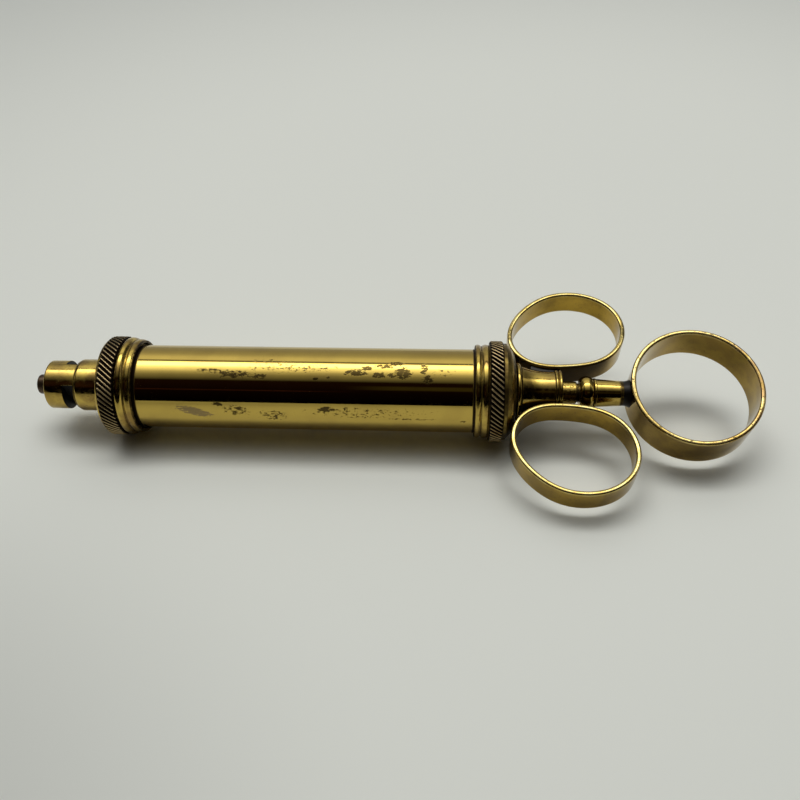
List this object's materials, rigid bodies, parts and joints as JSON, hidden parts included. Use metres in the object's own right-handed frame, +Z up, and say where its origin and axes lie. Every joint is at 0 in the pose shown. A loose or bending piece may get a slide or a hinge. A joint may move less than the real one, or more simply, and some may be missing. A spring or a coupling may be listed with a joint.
{
  "type": "three-ring syringe",
  "caption": "Brass three-ring hand syringe: plain barrel, knurled screw caps, leather piston on a rod, oval finger rings, a round thumb ring and a nozzle collar.",
  "frame": {"origin": "bottom centre of the bounding box, on the table it lies on", "axes": "+X along the barrel from the nozzle to the thumb ring, +Y away from the viewer, +Z up"},
  "size_m": [0.1696, 0.0574, 0.0235],
  "materials": {
    "lacquered_brass": "polished, old lacquer worn through in patches",
    "turned_brass": "turned and polished, dark in the grooves",
    "thread_brass": "turned, dull",
    "tarnished_brass": "dark brown tarnish",
    "rod_brass": "polished, lightly pitted",
    "ring_brass": "polished",
    "thumb_brass": "polished, coppery and pitted on the rims",
    "dark_solder": "matt, dark old solder",
    "washer_leather": "matt, oiled",
    "piston_leather": "matt, oiled"
  },
  "bodies": {
    "barrel": {"barrel_tube": "lacquered_brass", "front_thread_ring": "thread_brass", "rear_thread_ring": "thread_brass"},
    "front_seal": {"front_washer": "washer_leather"},
    "front_cap": {"front_cap": "turned_brass", "nozzle_collar": "turned_brass", "nozzle_spigot": "tarnished_brass"},
    "rear_seal": {"rear_washer": "washer_leather"},
    "rear_cap": {"rear_cap": "turned_brass", "rod_guide": "turned_brass", "finger_ring_near": "ring_brass", "finger_ring_far": "ring_brass", "finger_solder_near": "dark_solder", "finger_solder_far": "dark_solder"},
    "piston": {"piston_leather_front": "piston_leather", "piston_spacer": "thread_brass", "piston_leather_rear": "piston_leather"},
    "rod": {"piston_nut": "thread_brass", "piston_front_disc": "thread_brass", "piston_rear_disc": "thread_brass", "piston_rod": "rod_brass", "thumb_stem": "turned_brass", "thumb_ring": "thumb_brass", "thumb_solder": "dark_solder"}
  },
  "joints": [
    {"name": "front_cap_shift", "type": "slide", "parent": "barrel", "child": "front_seal", "axis": [-1, 0, 0], "range_m": [0, 0.00401]},
    {"name": "front_cap_turn", "type": "hinge", "parent": "front_seal", "child": "front_cap", "pos_m": [-0.06657, 0, 0.01175], "axis": [-1, 0, 0], "range_deg": [0, 1800]},
    {"name": "rear_cap_shift", "type": "slide", "parent": "barrel", "child": "rear_seal", "axis": [1, 0, 0], "range_m": [0, 0.00401]},
    {"name": "rear_cap_turn", "type": "hinge", "parent": "rear_seal", "child": "rear_cap", "pos_m": [0.02343, 0, 0.01175], "axis": [1, 0, 0], "range_deg": [0, 1800]},
    {"name": "piston_slide", "type": "slide", "parent": "rear_cap", "child": "piston", "axis": [1, 0, 0], "range_m": [-0.0039, 0.074]},
    {"name": "thumb_turn", "type": "hinge", "parent": "piston", "child": "rod", "pos_m": [0.04292, 0, 0.01175], "axis": [1, 0, 0], "continuous": true}
  ],
  "couplings": [
    {"joint": "front_cap_shift", "follows": "front_cap_turn", "m_per_rad": 0.00012732},
    {"joint": "rear_cap_shift", "follows": "rear_cap_turn", "m_per_rad": 0.00012732}
  ]
}
